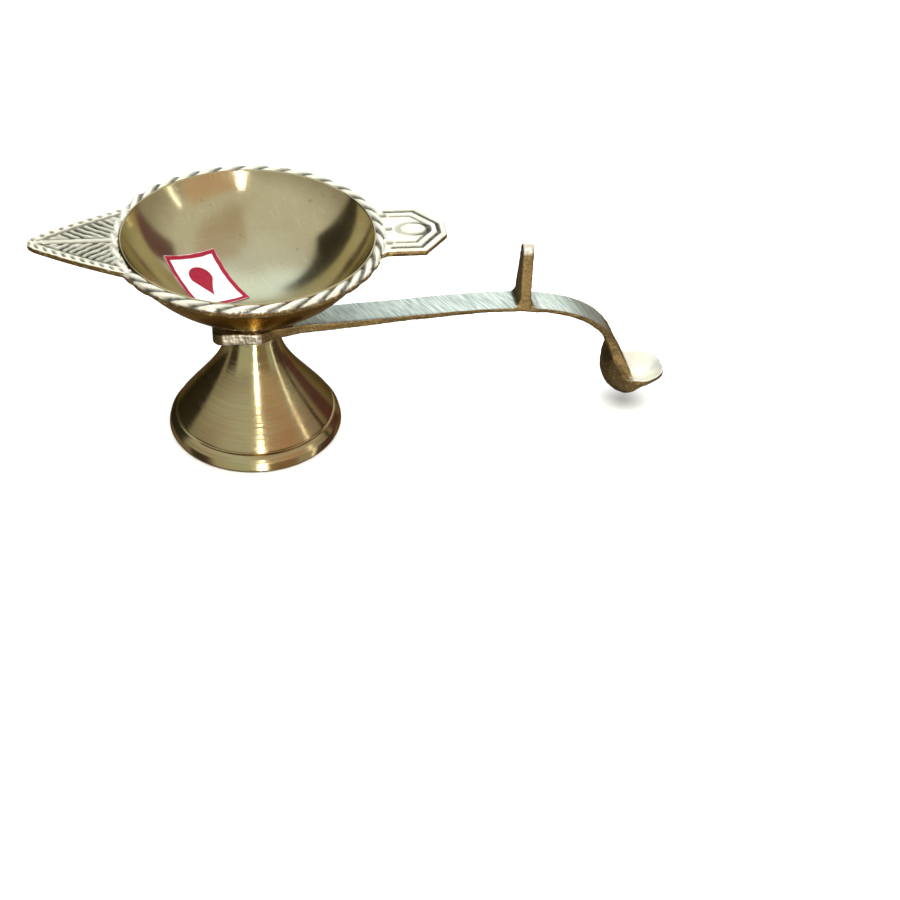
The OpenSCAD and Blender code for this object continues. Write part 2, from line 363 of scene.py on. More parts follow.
def hidden_brass():
    """The bowl's outside: dark golden and fairly smooth."""
    s = Surface("hidden_brass", Metallic=1.0, Specular_Tint=(0.6, 0.52, 0.4, 1))
    cloud = s.noise(90, 4)
    colour = s.mix(s.spread(cloud, 0.35, 0.7), linear((164, 134, 90)), linear((126, 100, 64)))
    lines = s.noise(1.0, 4, s.stretched((20, 20, 2200)), 0.7)
    s.bump(lines, 0.015, 0.5)
    return s.done(colour, s.spread(s.noise(300, 3), 0.3, 0.7, 0.16, 0.32))


def turned_brass():
    """The foot: satin, with the fine rings that the lathe left."""
    s = Surface("turned_brass", Metallic=1.0, Specular_Tint=(0.3, 0.24, 0.18, 1))
    along = s.stretched((14, 14, 2600))
    lines = s.noise(1.0, 4, along, 0.7)
    cloud = s.noise(60, 4)
    colour = s.mix(s.spread(cloud, 0.35, 0.68), linear((196, 188, 144)), linear((188, 160, 120)))
    colour = s.mix(s.spread(lines, 0.52, 0.75, 0, 0.35), colour, linear((164, 142, 96)))
    s.bump(lines, 0.02, 0.6)
    s.bump(s.noise(1.0, 3, s.stretched((500, 500, 5200))), 0.01, 0.6)
    rough = s.spread(s.noise(1.0, 4, s.stretched((60, 60, 1500))), 0.3, 0.75, 0.11, 0.24)
    return s.done(colour, rough)


def cast_brass():
    """The handle: rough and golden at its sides, filed pale on top, smooth and creamy inside the leaf, with
    a painted highlight on the eye's front and painted shade on its undersides and back faces.
    """
    s = Surface("cast_brass", Metallic=0.75, Specular_Tint=(0.6, 0.52, 0.42, 1))
    filed, creamy, dark = s.tones()
    grit = s.noise(2800, 5, rough=0.7)
    cloud = s.noise(120, 4)
    side = s.mix(s.spread(cloud, 0.35, 0.7), linear((126, 104, 64)), linear((86, 70, 42)))
    side = s.mix(s.spread(grit, 0.54, 0.68, 0, 0.5), side, linear((236, 212, 160)))
    strokes = s.noise(1.0, 4, s.stretched((2400, 170, 200), -27), 0.65)
    top = s.mix(s.spread(strokes, 0.38, 0.66), linear((244, 252, 246)), linear((160, 176, 164)))
    colour = s.mix(filed, side, top)
    # The creamy tone is the leaf's smooth pale inside and the thumb tab's rubbed top, and also a painted
    # highlight on the eye's front.
    cream = s.mix(s.spread(cloud, 0.3, 0.75), linear((255, 255, 246)), linear((246, 246, 226)))
    colour = s.mix(creamy, colour, cream)
    # Painted shade: the dark tone mixes in a dark brown where the handle faces down or away.
    colour = s.mix(dark, colour, linear((66, 58, 40)))
    flat = s.maths("MAXIMUM", filed, creamy)
    s.bump(s.maths("MULTIPLY", grit, s.spread(flat, 0, 1, 1.0, 0.15)), 0.12, 0.8)
    s.bump(s.maths("MULTIPLY", strokes, filed), 0.03, 0.6)
    rough = s.maths("ADD", s.spread(grit, 0.3, 0.7, 0.26, 0.44), s.maths("MULTIPLY", filed, 0.08))
    return s.done(colour, rough)


def clamp_brass():
    """The nut, the washer and the shank's thread: plain machined brass with a little tarnish."""
    s = Surface("clamp_brass", Metallic=1.0)
    cloud = s.noise(500, 4)
    colour = s.mix(s.spread(cloud, 0.35, 0.7), linear((190, 158, 96)), linear((120, 96, 56)))
    s.bump(s.noise(2500, 3), 0.02, 0.5)
    return s.done(colour, s.spread(cloud, 0.3, 0.7, 0.28, 0.5))


def printed_paper():
    """A white paper label with a crimson border and a plain drop."""
    s = Surface("printed_paper", Metallic=0.0, Specular_IOR_Level=0.35)
    ink, worn, _ = s.tones()
    fibre = s.noise(2200, 4)
    cloud = s.noise(300, 3)
    paper = s.mix(s.spread(cloud, 0.35, 0.7), linear((222, 228, 234)), linear((206, 214, 222)))
    red = s.mix(s.spread(fibre, 0.35, 0.7), linear((136, 12, 38)), linear((116, 11, 34)))
    colour = s.mix(ink, paper, red)
    colour = s.mix(worn, colour, linear((206, 186, 188)))
    s.bump(fibre, 0.02, 0.5)
    return s.done(colour, s.spread(fibre, 0.3, 0.7, 0.42, 0.6))


POLISHED, GROUND, HIDDEN, TURNED = polished_brass(), ground_brass(), hidden_brass(), turned_brass()
CAST, CLAMP, PAPER = cast_brass(), clamp_brass(), printed_paper()


def place(piece, body, node, slot, *materials):
    """Fits a piece to its body, hides the CAD node that it stands for and gives it its materials. The slot
    is not used.
    """
    for material in materials:
        piece.data.materials.append(material)
    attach(piece, body)
    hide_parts(node)


# ---------------------------------------------------------------- cup

# Sizes shared by several pieces. R is a radius and Z a height.
FOOT_H = 26.1
OPENING_R, RIM_Z, BOWL_DEPTH, BOWL_WALL, ROPE_W = 27.5, 52.0, 17.6, 1.6, 2.7
BOWL_R = (OPENING_R ** 2 + BOWL_DEPTH ** 2) / (2 * BOWL_DEPTH)
BOWL_Z = RIM_Z - BOWL_DEPTH + BOWL_R
EYE_TOP_Z, BOSS_R, SHANK_R, SHANK_END_Z = 29.0, 6.3, 2.5, 8.5
STRANDS = 34
PLATE_TOP, PLATE_BOTTOM = 51.5, 50.1


def build_bowl():
    """The bowl with its boss, and the smooth part of the shank."""
    climb = math.degrees(math.asin(OPENING_R / BOWL_R))
    inside = arc((0, BOWL_Z), BOWL_R, -90, climb - 90, 90)
    outer_r = BOWL_R + BOWL_WALL
    under = math.degrees(math.acos((BOWL_Z - RIM_Z + 2) / outer_r))
    foot = math.degrees(math.asin((BOSS_R + 1.1) / outer_r))
    outside = arc((0, BOWL_Z), outer_r, under - 90, foot - 90, 60)
    foot_z = outside[-1][1]
    fillet = bezier([outside[-1], [BOSS_R + 0.1, foot_z - 0.3], [BOSS_R, foot_z - 0.5],
                     [BOSS_R, foot_z - 1.3]], 8)
    profile = np.vstack([
        inside, [[27.62, 51.98], [27.8, 51.8], [28.2, 51.2], [29.4, 50.9], [29.5, 50.3]],
        outside, fillet[1:],
        [[BOSS_R, EYE_TOP_Z + 0.25], [BOSS_R - 0.2, EYE_TOP_Z], [SHANK_R, EYE_TOP_Z],
         [SHANK_R, 16], [SHANK_R - 0.3, 15.8], [0, 15.8]]])
    profile[0][0] = 0
    bowl = lathe("bowl", profile, 300)
    place(bowl, "cup", "cup", "polished_brass", POLISHED, HIDDEN)
    centre = Vector((0, 0, BOWL_Z * MM))
    polished = (BOWL_R + 0.3) * MM
    reach = [(v.co - centre).length for v in bowl.data.vertices]
    for polygon in bowl.data.polygons:
        if min(reach[i] for i in polygon.vertices) > polished:
            polygon.material_index = 1


def rope(theta, across):
    """Depth of the rope's grooves, 0 on a strand and 1 in a groove. across runs outwards, 0 to 1."""
    phase = (STRANDS * theta / TAU + 0.95 * across) % 1.0
    return smoothstep(0.32, 0.06, np.minimum(phase, 1 - phase))


def build_rope_rim():
    """A roped ring round the bowl's opening, with a beaded outer edge."""
    turns = STRANDS * 16
    angle = np.radians(np.linspace(176, 4, 17))
    crown = np.stack([OPENING_R + 1.4 + 1.32 * np.cos(angle), RIM_Z - 0.7 + 0.92 * np.sin(angle)], 1)
    outer_side = [[30.15, 50.9], [30.1, 50.4], [29.8, 50.05], [29.0, 49.95], [27.9, 50.1], [27.3, 50.6]]
    section = np.vstack([[[OPENING_R + 0.04, RIM_Z - 1.3]], crown, outer_side])
    theta = np.arange(turns)[:, None] * TAU / turns
    across = np.clip((section[:, 0] - OPENING_R) / ROPE_W, 0, 1)[None, :]
    at_spout = smoothstep(math.radians(33), math.radians(24), np.abs(theta - math.pi))
    groove = rope(theta, across) * (1 - 0.5 * at_spout)
    upper = smoothstep(RIM_Z - 0.95, RIM_Z - 0.5, section[:, 1])[None, :]
    edge = (smoothstep(29.4, 30.0, section[:, 0]) * smoothstep(50.0, 50.4, section[:, 1]))[None, :]
    ragged = wavy(theta * 28, section[None, :, 1] * 3, 0, 4, 2.2)
    out = section[None, :, 0] - edge * (0.16 + 0.12 * ragged) - 0.3 * groove * smoothstep(0.6, 1, across)
    up = section[None, :, 1] - 0.42 * groove * upper - 0.75 * at_spout * upper
    up = up + 0.04 * wavy(theta * 29, 5 * across, 0, 7, 2.0) * upper
    verts = np.stack([out * np.cos(theta), out * np.sin(theta), up], -1).reshape(-1, 3)
    top = (smoothstep(RIM_Z - 0.75, RIM_Z - 0.45, section[:, 1])[None, :] + 0 * theta).ravel()
    deep = (groove * upper * 0.95).ravel()
    tones = np.column_stack([top, deep, 0 * top])
    piece = make("rope_rim", verts, quads(turns, len(section), True, True), tones)
    place(finished(piece), "cup", "cup", "polished_brass", GROUND)


def plate_bottom(inland):
    """A plate's underside, eased at the edge. inland is the distance from the edge."""
    return PLATE_BOTTOM + 0.12 * smoothstep(0.4, 0.0, inland)


def plate_tones(verts, deep):
    """Pale on top but for the outermost row, golden at the sides and below."""
    pale = np.ones(deep.shape)
    pale[:, 0] = pale[:, -1] = pale[-1] = 0
    tones = np.zeros((len(verts), 3))
    tones[:deep.size, 0] = pale.ravel()
    tones[:deep.size, 1] = (deep * pale).ravel()
    return tones


def build_spout():
    """The leaf-shaped wick spout: a roped border, a midrib and slanted veins."""
    reach, tip_r, root_w = 47.0, 2.6, 15
    flank = bezier([[reach - tip_r * 0.5, tip_r * 0.93], [41, 5.6], [34, 10], [23.4, root_w]], 84)[::-1]
    tip = arc((reach - tip_r, 0), tip_r, 58, 6, 12)
    outline = np.vstack([flank, tip])
    ox, ow = outline[:, 0], outline[:, 1]
    length = np.concatenate([[0], np.cumsum(np.hypot(np.diff(ox), np.diff(ow)))])

    def inland(x, y):
        """Distance from the plate's edge."""
        slope = np.gradient(ow, ox)
        s = np.interp(x, ox, slope)
        return (np.interp(x, ox, ow) - np.abs(y)) / np.sqrt(1 + s * s)

    def relief(x, y):
        d = inland(x, y)
        beyond = np.minimum(d, reach - x)
        run = np.interp(x, ox, length)
        step = (run / 2.3 + d * 0.3 * np.sign(y)) % 1.0
        dash = dent(step, 0.5, 0.16, 0.2) * dent(d, 0.95, 0.5, 0.4)
        valley = dent(d, 2.15, 0.35, 0.4) * smoothstep(46, 43, x)
        ay = np.abs(y)
        field = smoothstep(2.3, 2.7, d) * smoothstep(44.5, 43, x) * smoothstep(27.9, 28.5, np.hypot(x, y))
        phase = ((x - ay * 1.3) / 2.5 + 0.1 + 0.1 * wavy(x, y, 0, 8, 7.0)) % 1.0
        vein = dent(phase, 0.5, 0.27, 0.25) * field * smoothstep(0.7, 1.1, ay)
        vein = vein * np.clip(0.75 + 0.6 * wavy(x, y, 0, 18, 7.0), 0.25, 1)
        rib = dent(ay, 0.8, 0.2, 0.25) * smoothstep(45.5, 44, x)
        deep = np.clip(0.85 * dash + 0.85 * valley + vein + 0.8 * rib + 0.25 * field, 0, 1)
        lift = 0.12 * smoothstep(0.7, 0.2, ay) - 0.2 * smoothstep(0.35, 0.0, beyond)
        return deep, lift + 0.05 * wavy(x, y, 0, 3, 4.0)

    def top(x, y):
        deep, lift = relief(x, y)
        return PLATE_TOP + lift - 0.45 * deep

    def bottom(x, y):
        return plate_bottom(inland(x, y))

    verts, faces, x, y = slab(ox, ow, round_end(27.75, root_w), top, bottom, 121)
    tones = plate_tones(verts, relief(x, y)[0])
    verts[:, 0] *= -1
    place(finished(make("spout_leaf", verts, faces, tones)), "cup", "cup", "polished_brass", GROUND)


def build_tab():
    """The rear tab, with two engraved outlines and a raised oval."""
    root, parallel, shoulder, end = 26.3, 29.5, 38, 43.6
    half, root_w, end_w = 9.2, 10.9, 2.5
    ox = np.concatenate([np.linspace(root, parallel, 16), np.linspace(29.7, shoulder, 44),
                         np.linspace(38.15, end, 36)])
    ow = np.interp(ox, [root, parallel, shoulder, end], [root_w, half, half, end_w])

    def inland(x, y):
        """Distance from the plate's edge."""
        ay = np.abs(y)
        side = half + smoothstep(parallel, root, x) * 1.7 - ay
        corner = ((end - x) * 6.8 + (half - ay) * 5.6) / math.hypot(6.8, 5.6)
        cut = ((end - x) * 6.7 + (end_w - ay) * 5.6) / math.hypot(6.7, 5.6)
        return np.minimum(np.minimum(side, end - x), np.minimum(corner, cut))

    def relief(x, y):
        d = inland(x, y)
        r = np.hypot(x, y)
        away = smoothstep(31.6, 32.4, r)
        ring = dent(d, 1.75, 0.42, 0.25) * smoothstep(31, 31.6, r)
        inner = dent(d, 3.75, 0.3, 0.25) * away
        oval = np.hypot((x - 36.2) / 3.5, y / 2.5)
        crescent = dent(oval, 1.0, 0.16, 0.2) * (0.45 + 0.55 * smoothstep(35, 38, x))
        phase = (STRANDS * np.arctan2(y, x) / TAU + 0.95) % 1.0
        strokes = np.clip(1 - np.minimum(phase, 1 - phase) / 0.2, 0, 1) * dent(r, 30.8, 0.7, 0.5)
        deep = np.clip(ring + 0.85 * inner + crescent + 0.9 * strokes, 0, 1)
        lift = 0.15 * smoothstep(1.0, 0.6, oval) - 0.2 * smoothstep(0.35, 0.0, d)
        return deep, lift + 0.05 * wavy(x, y, 0, 9, 4.0)

    def top(x, y):
        deep, lift = relief(x, y)
        return PLATE_TOP + lift - 0.38 * deep

    def bottom(x, y):
        return plate_bottom(inland(x, y))

    verts, faces, x, y = slab(ox, ow, round_end(28.3, root_w), top, bottom, 111)
    tones = plate_tones(verts, relief(x, y)[0])
    place(finished(make("rear_tab", verts, faces, tones)), "cup", "cup", "polished_brass", GROUND)


def build_shank():
    """The cup's shank, threaded where the nut runs on it."""
    pitch, depth, turns = 0.8, 0.28, 48
    z = np.arange(SHANK_END_Z, 16.5, 0.08)
    a = np.arange(turns) * TAU / turns
    phase = ((z[:, None] / pitch) - a[None, :] / TAU) % 1.0
    cut = depth * np.abs(2 * phase - 1) * smoothstep(15.2, 14.2, z)[:, None]
    radius = SHANK_R - 0.02 - cut - 0.5 * smoothstep(SHANK_END_Z + 0.6, SHANK_END_Z, z)[:, None]
    rings = np.stack([radius * np.cos(a), radius * np.sin(a), z[:, None] + 0 * a], -1)
    place(finished(make("shank_thread", *loft(rings))), "cup", "cup", "clamp_brass", CLAMP)


# ---------------------------------------------------------------- foot, washer and nut

def build_foot():
    """The turned foot, with a groove above its band and the lathe's own fine steps."""
    foot_r, neck_r, band_h, hollow_h = 20.5, 6.2, 2.4, 15.0
    groove_r, groove_z, bore = foot_r - 1.9, band_h + 1.7, 2.55
    bell = bezier([[groove_r, groove_z + 0.4], [14, 11], [neck_r + 0.2, 18.5], [neck_r, FOOT_H - 0.2]], 130)
    random = np.random.RandomState(5)
    bell[1:-1, 0] += random.uniform(-0.012, 0.006, len(bell) - 2)
    inside = bezier([[7.6, hollow_h], [9.2, 12.2], [13.2, 8.6], [foot_r - 3.4, 3.8]], 40)
    profile = np.vstack([
        [[foot_r - 2.3, 0.15], [foot_r - 2.15, 0], [foot_r - 0.5, 0], [foot_r - 0.15, 0.15], [foot_r, 0.5],
         [foot_r - 0.02, 0.7], [foot_r - 0.4, band_h - 0.2], [foot_r - 0.55, band_h]],
        [[foot_r - 0.9, band_h + 0.35], [groove_r + 0.45, groove_z - 0.35],
         [groove_r + 0.2, groove_z - 0.25], [groove_r - 0.2, groove_z - 0.1], [groove_r - 0.3, groove_z],
         [groove_r - 0.2, groove_z + 0.2]],
        bell, [[neck_r - 0.2, FOOT_H], [bore, FOOT_H], [bore, hollow_h]], inside])
    place(lathe("turned_foot", profile, 288), "foot", "pedestal", "turned_brass", TURNED)


def build_washer():
    """The washer between the nut and the hollow's ceiling, with its edges broken."""
    section = [[2.75, 14.1], [2.85, 14.0], [4.8, 14.0], [4.95, 14.1], [5.0, 14.3], [5.0, 14.8],
               [4.9, 14.95], [4.8, 15.0], [2.8, 15.0], [2.7, 14.9]]
    place(lathe("clamp_washer", section, 96), "foot", "washer", "clamp_brass", CLAMP)


def build_nut():
    """A hexagon nut with its corners chamfered and a countersunk bore."""
    low, high, flat, turns = 10.0, 14.0, 4.0, 96
    a = np.arange(turns) * TAU / turns
    off = np.abs((a + math.pi / 6) % (math.pi / 3) - math.pi / 6)
    hexagon = flat / np.cos(math.pi / 6 - off)
    face, chamfer = np.minimum(hexagon, flat + 0.05), np.minimum(hexagon, flat + 0.33)
    bore, sink = np.full(turns, 2.48), np.full(turns, 2.8)
    rows = [(bore, low + 0.3), (sink, low), (face, low), (chamfer, low + 0.22), (hexagon, low + 0.55),
            (hexagon, (low + high) / 2),
            (hexagon, high - 0.55), (chamfer, high - 0.22), (face, high), (sink, high), (bore, high - 0.3)]
    verts = np.vstack([np.stack([r * np.cos(a), r * np.sin(a), 0 * a + z], 1) for r, z in rows])
    nut = make("clamp_nut", verts, quads(len(rows), turns, True, True), smooth=False)
    place(finished(nut), "cup", "nut", "clamp_brass", CLAMP)


# ---------------------------------------------------------------- handle

ARCH_Z, STRAP_HALF, HANDLE_REACH = 30.1, 3.75, 100.55
EYE_REACH = 11.5
THUMB_X, THUMB_THICK = 63.0, 3.0
LEAF_X, LEAF_R, LEAF_HALF = 92.6, 8, 6.5


def strap_solid():
    """The strap: a long low rise, a shoulder and a drop into the leaf."""
    mid = ARCH_Z + 0.65
    line = np.vstack([
        bezier([[0, EYE_TOP_Z - 1.35], [22, EYE_TOP_Z - 1], [42, mid], [57, mid]], 60),
        bezier([[57, mid], [73, mid], [82.3, 27], [85.8, 18.8]], 60)[1:],
        bezier([[85.8, 18.8], [87.2, 15.4], [89.6, 12.4], [91.4, 6.6]], 24)[1:]])
    line = line[line[:, 0] > 3.2]
    x, z = line.T
    along = np.gradient(line, axis=0)
    along /= np.linalg.norm(along, axis=1)[:, None]
    thick = np.interp(x, [0, 10, 32, 57, 74, 83, 87, 92], [2.7, 2.6, 1.7, 1.3, 1.4, 1.8, 2.6, 3.0])
    half = np.interp(x, [3, 4, 7, 11, 16, 85, 87, 88.5, 90, 91, 92],
                     [5, 5, 4.5, 3.85, STRAP_HALF, STRAP_HALF, 4.0, 4.8, 5.7, 6.1, 6.2])
    half = half + 0.07 * wavy(x, 0, 0, 12, 9.0)
    rings = []
    c = 0.22
    for i in range(len(x)):
        nx, nz = -along[i, 1], along[i, 0]
        w, h = half[i], thick[i] / 2
        section = [(w - c, h), (w, h - c), (w, c - h), (w - c, -h),
                   (c - w, -h), (-w, c - h), (-w, h - c), (c - w, h)]
        rings.append([(x[i] + nx * b, a, z[i] + nz * b) for a, b in section])
    return loft(rings)


def eye_solid():
    """The eye plate: a disc with a blunt tongue at its front, and the shank's bore."""
    turns, disc_r, front, half, corner_r = 128, 6.5, 9.2, 6.1, 2
    a = np.arange(turns) * TAU / turns
    r = np.linspace(0, EYE_REACH, 1151)[:, None]
    x, y = r * np.cos(a), np.abs(r * np.sin(a))
    disc = np.hypot(x, y) <= disc_r
    tongue = (x >= -front) & (x <= 0) & (y <= half)
    cx, cy = corner_r - front, half - corner_r
    corner = (x < cx) & (y > cy) & (np.hypot(x - cx, y - cy) > corner_r)
    outer = (r * (disc | (tongue & ~corner))).max(0)
    bore = np.full(turns, 2.55)
    low, high, c = FOOT_H, EYE_TOP_Z, 0.25
    rows = [(bore, low), (outer - c, low), (outer, low + c), (outer, high - c), (outer - c, high),
            (bore, high)]
    verts = np.vstack([np.stack([q * np.cos(a), q * np.sin(a), 0 * a + z], 1) for q, z in rows])
    return verts, quads(len(rows), turns, True, True).tolist()


def thumb_solid():
    """A bar on edge across the strap, wide at its foot, narrow and rounded at its top."""
    top, crown_r = 46.4, 1.2
    base = ARCH_Z + 0.2
    flank = bezier([[STRAP_HALF, base], [STRAP_HALF - 1, base + 3], [2.1, top - 7],
                    [crown_r, top - crown_r]], 24)
    crown = arc((0, top - crown_r), crown_r, 0, 180, 12)
    outline = np.vstack([flank[:-1], crown, flank[:-1][::-1] * [-1, 1]])
    rings = []
    for offset, inset in ((-1, 0.4), (-0.84, 0.12), (-0.7, 0), (0.7, 0), (0.84, 0.12), (1, 0.4)):
        y = outline[:, 0] - np.sign(outline[:, 0]) * np.minimum(inset, np.abs(outline[:, 0]))
        z = np.minimum(outline[:, 1], top - inset)
        rings.append(np.stack([THUMB_X + offset * THUMB_THICK / 2 + 0 * y, y, z], 1))
    return loft(rings)


def fillet_solid(side):
    """A small ramp between the thumb tab and the strap."""
    r, half, buried = 1.6, 3.2, -0.6
    curve = arc((r, r), r, 180, 270, 8)
    u, v = np.vstack([[[-0.5, buried]], [[-0.5, r]], curve, [[r, buried]]]).T
    x, z = THUMB_X + side * (THUMB_THICK / 2 + u), ARCH_Z + 1.2 + v
    return loft([np.stack([x, y + 0 * x, z], 1) for y in (-half, half)])


def leaf_solid():
    """The cupped leaf at the end of the handle, low in the middle, with a heel behind the strap."""
    back = LEAF_X - LEAF_R * np.cos(np.radians(np.linspace(8, 88, 40)))
    ox = np.concatenate([back, np.linspace(LEAF_X, HANDLE_REACH, 40)])
    edge = bezier([[92.4, 7.0], [97.2, 6.7], [100.4, 4.4], [HANDLE_REACH, 0.9]], 60)
    ow = np.minimum(np.sqrt(np.maximum(LEAF_R ** 2 - (ox - LEAF_X) ** 2, 0.01)), LEAF_HALF)
    ow = np.where(ox > edge[0, 0], np.minimum(LEAF_HALF, np.interp(ox, edge[:, 0], edge[:, 1])), ow)
    ow = np.minimum(ow, np.interp(ox, [84, 86.5, 88.5, 90.5], [2.6, 4.6, 5.7, 6.4]))

    def bottom(x, y):
        ahead = (x - LEAF_X) * np.where(x > LEAF_X, 0.9, 1)
        ball = 11 - np.sqrt(np.maximum(LEAF_R ** 2 - ahead ** 2 - y ** 2, 0.0))
        rise = np.interp(x, [83, 88.4, 93, 101.8], [0.5, 3.5, 5.2, 9.0])
        curl = 0.055 * y ** 2 * smoothstep(88, 94, x)
        return np.logaddexp(ball * 3, (rise + curl) * 3) / 3

    def top(x, y):
        rim = np.interp(x, [84, 84.9, 86.2, 88, 90, 94, 101.8], [12, 13.4, 15.6, 13.2, 10.3, 9.9, 11.0])
        hollow = rim - 2.3 * np.maximum(1 - ((x - 94.8) / 6.2) ** 2 - (y / 6.1) ** 2, -0.1)
        hollow = np.maximum(hollow, bottom(x, y) + 1.2) + 6 * smoothstep(91.5, 90, x)
        return np.maximum(-np.logaddexp(-rim * 5, -hollow * 5) / 5, bottom(x, y) + 1.0)

    verts, faces, _, _ = slab(ox, ow, lambda t: 0 * t, top, bottom, 60)
    return verts, faces


def build_handle():
    """Joins the handle's solids into one casting and gives it a cast skin."""
    solids = [strap_solid(), eye_solid(), thumb_solid(), fillet_solid(-1), fillet_solid(1),
              leaf_solid()]
    verts, faces = [], []
    for points, polygons in solids:
        part = finished(make("part", points, polygons))
        base = len(verts)
        verts.extend([tuple(v.co / MM) for v in part.data.vertices])
        faces.extend([[i + base for i in p.vertices] for p in part.data.polygons])
        bpy.data.objects.remove(part)
    rough = make("handle_parts", verts, faces)
    remesh = rough.modifiers.new("remesh", "REMESH")
    remesh.mode = "VOXEL"
    remesh.voxel_size = 0.24 * MM
    relax = rough.modifiers.new("relax", "SMOOTH")
    relax.factor, relax.iterations = 0.5, 4
    bpy.context.view_layer.update()
    shaped = rough.evaluated_get(bpy.context.evaluated_depsgraph_get())
    mesh = bpy.data.meshes.new_from_object(shaped)
    bpy.data.objects.remove(rough)
    mesh.name = "handle_casting"
    piece = bpy.data.objects.new("handle_casting", mesh)
    bpy.context.scene.collection.objects.link(piece)

    count = len(mesh.vertices)
    co, normal = np.zeros(count * 3), np.zeros(count * 3)
    mesh.vertices.foreach_get("co", co)
    mesh.vertices.foreach_get("normal", normal)
    co, normal = co.reshape(-1, 3) / MM, normal.reshape(-1, 3)
    x, y, z = co.T
    clamped = (x < 8) & (np.hypot(x, y) < EYE_REACH)
    upright = smoothstep(0.55, 0.85, normal[:, 2])
    on_leaf = smoothstep(90.2, 92.4, x) * (z < 12.5) * (normal[:, 2] > 0.2)
    filed = upright * (x > 9) * (z < 33) * smoothstep(86, 82, x) * (np.abs(x - THUMB_X) > 1.9)
    shoulder = smoothstep(71, 80, x) * 0.6
    creamy = smoothstep(0.2, 0.45, normal[:, 2]) * on_leaf
    thumb = (np.abs(x - THUMB_X) < 3) & (z > 31.5)
    creamy = np.maximum(creamy, 0.75 * thumb * smoothstep(43.6, 45.6, z) * (normal[:, 0] > -0.5))
    # Painted highlight: faces of the eye that point to -Y get pale creamy patches through the creamy tone,
    # standing in for glints of light on the cast skin.
    painted_front_glint = (np.abs(x + 2.6) < 4.4) & (normal[:, 1] < -0.3)
    patches = smoothstep(-0.3, 0.5, wavy(x, y, z, 14, 1.1))
    creamy = np.maximum(creamy, painted_front_glint * (0.15 + 0.6 * patches))
    # Painted shade: the dark tone darkens the downward faces towards the drop, the filed top where it turns
    # down at the shoulder, the eye's front end, and the backward faces of the drop and the thumb tab.
    below = smoothstep(0.2, -0.6, normal[:, 2]) * smoothstep(60, 86, x)
    dark = np.clip(0.75 * below + filed * shoulder, 0, 1)
    dark = np.maximum(dark, 0.7 * (x < -7.2))
    drop_back = (x < 90) * (x > 83) * (normal[:, 0] < -0.3)
    dark = np.maximum(dark, 0.6 * thumb * (normal[:, 0] < -0.5) + 0.5 * drop_back)
    cast = 0.05 * wavy(x, y, z, 21, 2.2) + 0.035 * wavy(x, y, z, 22, 0.9)
    cast = cast * (1 - 0.8 * np.maximum(filed, creamy)) * ~clamped
    co = co + normal * (cast - 0.05 * ~clamped)[:, None]
    co[:, 0] = np.minimum(co[:, 0], HANDLE_REACH)
    mesh.vertices.foreach_set("co", (co * MM).ravel())
    mesh.polygons.foreach_set("use_smooth", [True] * len(mesh.polygons))
    mesh.update()
    paint(mesh, np.column_stack([filed, creamy, dark]))
    mesh.materials.clear()
    place(piece, "handle", "handle", "cast_brass", CAST)


# ---------------------------------------------------------------- label

def build_label():
    """A paper label stuck in the bowl, with a printed border and a plain drop."""
    width, height, thick, border = 13.6, 16.2, 0.18, 1.15
    heading, climb, turn = (math.radians(a) for a in (158, 21.5, 52.5))
    u, v = np.meshgrid(np.linspace(-width / 2, width / 2, 115), np.linspace(-height / 2, height / 2, 137))
    spin = Matrix.Rotation(heading, 3, "Z") @ Matrix.Rotation(-climb, 3, "Y")
    layers = []
    for lift in (thick, 0.02):
        shrink = 1 - 0.0025 * (1 - lift / thick)
        a = (u * math.cos(turn) - v * math.sin(turn)) * shrink
        b = (u * math.sin(turn) + v * math.cos(turn)) * shrink
        r = BOWL_R - 0.02 - lift
        flat = np.stack([a, b, -np.sqrt(r * r - a * a - b * b)], -1)
        layers.append(flat @ np.array(spin).T + [0, 0, BOWL_Z])
    verts, faces = plate(*layers)
    inset = np.minimum(width / 2 - np.abs(u), height / 2 - np.abs(v)) + 0.08 * wavy(u, v, 0, 31, 5.0)
    ink = 1 - smoothstep(border - 0.1, border + 0.1, inset)
    drop_r, drop_half = 2.9, 4.6
    round_part = np.sqrt(np.maximum(drop_r ** 2 - (v + 1.7) ** 2, 0))
    pointed_part = drop_r * np.clip((4.8 - v) / 5.8, 0, 1) ** 1.3
    half = np.where(v < -1.0, round_part, pointed_part)
    ink = np.maximum(ink, smoothstep(-0.12, 0.12, half - np.abs(u)) * (np.abs(v) < drop_half))
    worn = smoothstep(0.18, 0.0, inset) * 0.8
    tones = np.zeros((len(verts), 3))
    tones[:u.size, 0], tones[:u.size, 1] = ink.ravel(), worn.ravel()
    label = make("size_sticker", verts, faces, tones)
    place(finished(label), "cup", "size_label", "printed_paper", PAPER)


for build in (build_bowl, build_rope_rim, build_spout, build_tab, build_shank, build_foot, build_washer,
              build_nut, build_handle, build_label):
    build()


# ---------------------------------------------------------------- floor and light

def build_stage():
    """A pale floor that the brass doesn't reflect."""
    size = 3.0
    mesh = bpy.data.meshes.new("floor")
    corners = [(-size, -size, 0), (size, -size, 0), (size, size, 0), (-size, size, 0)]
    mesh.from_pydata(corners, [], [(0, 1, 2, 3)])
    floor = bpy.data.objects.new("floor", mesh)
    bpy.context.scene.collection.objects.link(floor)
    s = Surface("pale_floor", Metallic=0.0, Specular_IOR_Level=0.1)
    cloud = s.noise(6, 3)
    s.bump(s.noise(900, 2), 0.01, 0.1)
    mesh.materials.append(s.done(s.mix(cloud, (0.90, 0.90, 0.90, 1), (0.92, 0.92, 0.92, 1)),
                                 s.spread(cloud, 0, 1, 0.7, 0.8)))
    floor.visible_glossy = False


